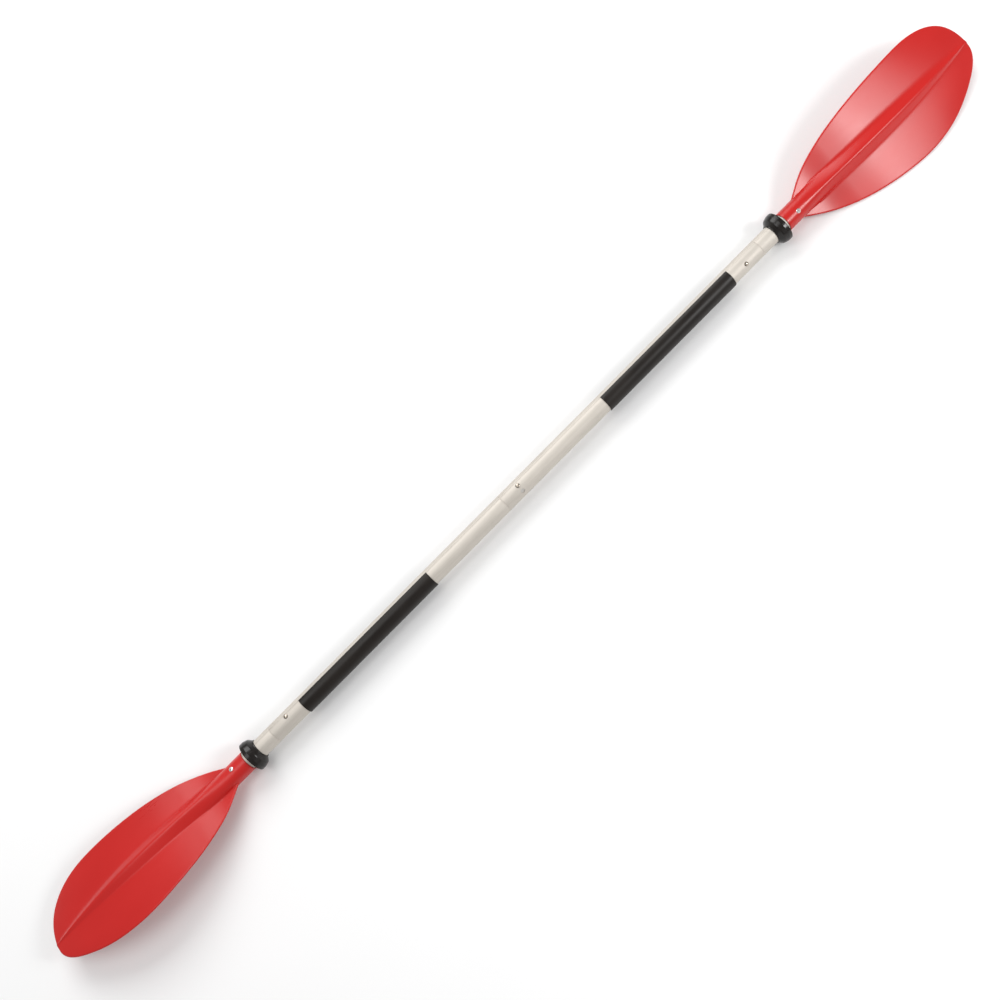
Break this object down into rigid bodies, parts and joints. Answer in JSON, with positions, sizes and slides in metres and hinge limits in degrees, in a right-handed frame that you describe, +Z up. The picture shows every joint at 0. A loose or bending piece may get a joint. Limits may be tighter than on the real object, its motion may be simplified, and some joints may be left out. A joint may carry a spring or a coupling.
{
  "type": "kayak paddle",
  "caption": "Take-apart double-bladed kayak paddle: aluminium shaft with snap-button ferrule joints, feathered moulded blades, open-sleeve grips and sliding drip rings.",
  "frame": {"origin": "on the shaft's axis, half way between the two blade tips", "axes": "+X along the shaft towards the right blade, +Z up for a paddle lying on level ground on its two drip rings and the short edge of the right blade, +Y across it"},
  "size_m": [2.084, 0.1712, 0.0906],
  "materials": {
    "tube_aluminium": "satin anodised, fine lengthwise draw lines",
    "ferrule_aluminium": "satin, lightly rubbed",
    "blade_plastic": "semi-gloss moulded plastic",
    "grip_plastic": "smooth, slightly glossy",
    "ring_rubber": "soft, slightly glossy",
    "spring_steel": "tempered strip",
    "button_steel": "polished dome",
    "rivet_aluminium": "bright",
    "mandrel_steel": "dull broken end",
    "plug_plastic": "plain moulded"
  },
  "bodies": {
    "right_shaft": {"right_shaft_tube": "tube_aluminium", "right_grip": "grip_plastic", "right_inner_plug": "plug_plastic", "right_outer_plug": "plug_plastic"},
    "left_shaft": {"left_shaft_tube": "tube_aluminium", "left_grip": "grip_plastic", "left_inner_plug": "plug_plastic", "left_outer_plug": "plug_plastic", "centre_ferrule": "ferrule_aluminium", "centre_snap_spring": "spring_steel"},
    "right_blade_section": {"right_blade": "blade_plastic", "right_stub_tube": "tube_aluminium", "right_ferrule": "ferrule_aluminium", "right_snap_spring": "spring_steel", "right_stub_plug": "plug_plastic", "right_rivet": "rivet_aluminium", "right_rivet_mandrel": "mandrel_steel"},
    "left_blade_section": {"left_blade": "blade_plastic", "left_stub_tube": "tube_aluminium", "left_ferrule": "ferrule_aluminium", "left_snap_spring": "spring_steel", "left_stub_plug": "plug_plastic", "left_rivet": "rivet_aluminium", "left_rivet_mandrel": "mandrel_steel"},
    "centre_button": {"centre_snap_button": "button_steel"},
    "right_button": {"right_snap_button": "button_steel"},
    "left_button": {"left_snap_button": "button_steel"},
    "right_ring": {"right_drip_ring": "ring_rubber"},
    "left_ring": {"left_drip_ring": "ring_rubber"}
  },
  "joints": [
    {"name": "centre_feather", "type": "hinge", "parent": "right_shaft", "child": "left_shaft", "pos_m": [0, 0, 0], "axis": [1, 0, 0], "range_deg": [0, 45], "deforming": ["centre_snap_button"]},
    {"name": "right_blade_pull", "type": "slide", "parent": "right_shaft", "child": "right_blade_section", "axis": [1, 0, 0], "range_m": [0, 0.075], "deforming": ["right_snap_button"]},
    {"name": "left_blade_pull", "type": "slide", "parent": "left_shaft", "child": "left_blade_section", "axis": [-1, 0, 0], "range_m": [0, 0.075], "deforming": ["left_snap_button"]},
    {"name": "centre_button_press", "type": "slide", "parent": "left_shaft", "child": "centre_button", "axis": [0, 0.0366, -0.9993], "range_m": [0, 0.0035], "stiffness_N_per_m": 1500, "springref_m": -0.004, "deforming": ["centre_snap_spring"]},
    {"name": "right_button_press", "type": "slide", "parent": "right_blade_section", "child": "right_button", "axis": [0, 0.6032, -0.7976], "range_m": [0, 0.0035], "stiffness_N_per_m": 1500, "springref_m": -0.004, "deforming": ["right_snap_spring"]},
    {"name": "left_button_press", "type": "slide", "parent": "left_blade_section", "child": "left_button", "axis": [0, -0.1374, -0.9905], "range_m": [0, 0.0035], "stiffness_N_per_m": 1500, "springref_m": -0.004, "deforming": ["left_snap_spring"]},
    {"name": "right_ring_slide", "type": "slide", "parent": "right_blade_section", "child": "right_ring", "axis": [-1, 0, 0], "range_m": [-0.0015, 0.028]},
    {"name": "left_ring_slide", "type": "slide", "parent": "left_blade_section", "child": "left_ring", "axis": [1, 0, 0], "range_m": [-0.0015, 0.028]}
  ]
}
